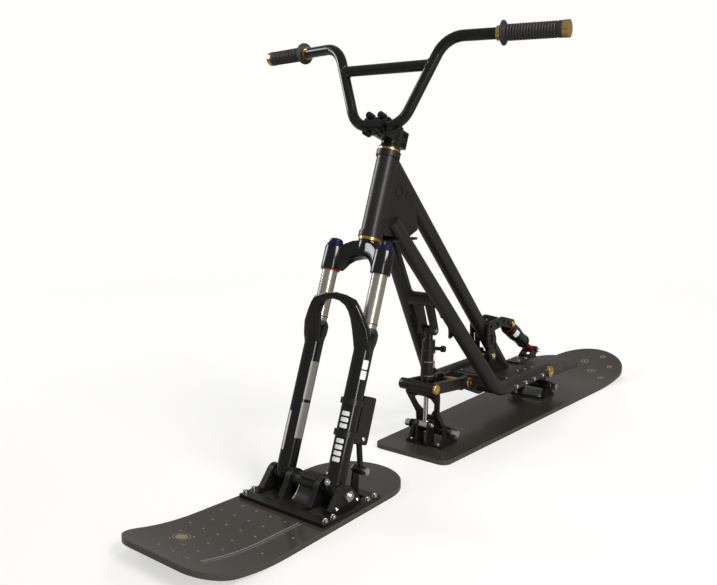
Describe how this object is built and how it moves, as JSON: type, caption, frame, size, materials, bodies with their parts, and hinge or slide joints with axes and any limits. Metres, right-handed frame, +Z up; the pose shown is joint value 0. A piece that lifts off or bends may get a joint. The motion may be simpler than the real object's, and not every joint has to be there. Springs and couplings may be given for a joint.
{
  "type": "snowscoot",
  "caption": "Snowscoot: a telescopic fork and high handlebar steer a short front board, and a sprung black frame with a foot plate rides on a long rear board.",
  "frame": {"origin": "on the floor, under the middle of the bounding box", "axes": "+X forward, +Y to the rider's left, +Z up"},
  "size_m": [1.755, 0.759, 0.9303],
  "materials": {
    "frame_paint": "satin",
    "deck_plate": "satin",
    "gold_anodised": "satin",
    "bright_steel": "polished",
    "shock_black": "gloss",
    "machined_black": "satin",
    "red_anodised": "satin",
    "blue_anodised": "satin",
    "board_lacquer": "gloss",
    "fork_gloss": "gloss",
    "stanchion_grey": "polished",
    "grip_rubber": "matte"
  },
  "bodies": {
    "frame": {"head_tube": "frame_paint", "head_rings": "gold_anodised", "gusset": "frame_paint", "top_tube": "frame_paint", "side_tube_left": "frame_paint", "side_tube_right": "frame_paint", "cross_tube": "frame_paint", "link_bracket": "frame_paint", "foot_plate": "deck_plate", "tail_plate": "deck_plate", "deck_bolts": "bright_steel", "rail_caps": "gold_anodised", "front_shock_body": "shock_black", "front_shock_shaft": "bright_steel", "shock_bolts": "bright_steel", "link_arms": "machined_black", "link_axles": "gold_anodised", "front_upright": "machined_black", "front_truck_base": "machined_black", "front_truck_axle": "bright_steel", "rocker_plates": "machined_black", "rocker_axles": "gold_anodised", "rocker_foot": "machined_black", "rear_shock_body": "shock_black", "rear_shock_shaft": "red_anodised", "shock_clevis": "machined_black", "rear_arm": "machined_black", "rear_upright": "machined_black", "rear_truck_base": "machined_black", "rear_truck_axle": "bright_steel", "rear_board": "board_lacquer"},
    "steering": {"fork_crown": "fork_gloss", "stanchion_left": "stanchion_grey", "stanchion_right": "stanchion_grey", "crown_caps": "blue_anodised", "fork_lowers": "fork_gloss", "stem": "fork_gloss", "stem_cap": "fork_gloss", "handlebar": "fork_gloss", "crossbar": "fork_gloss", "grip_left": "grip_rubber", "grip_right": "grip_rubber", "bar_ends": "gold_anodised", "front_axle": "bright_steel", "level_bracket": "machined_black", "level_damper": "machined_black", "level_bolt": "bright_steel", "board_base": "machined_black", "axle_brackets": "machined_black", "base_bolts": "bright_steel", "front_board": "board_lacquer"}
  },
  "joints": [
    {"name": "steer", "type": "hinge", "parent": "frame", "child": "steering", "pos_m": [0.3095, 0, 0.50801], "axis": [-0.3387, 0, 0.9409], "range_deg": [-60, 60]}
  ]
}
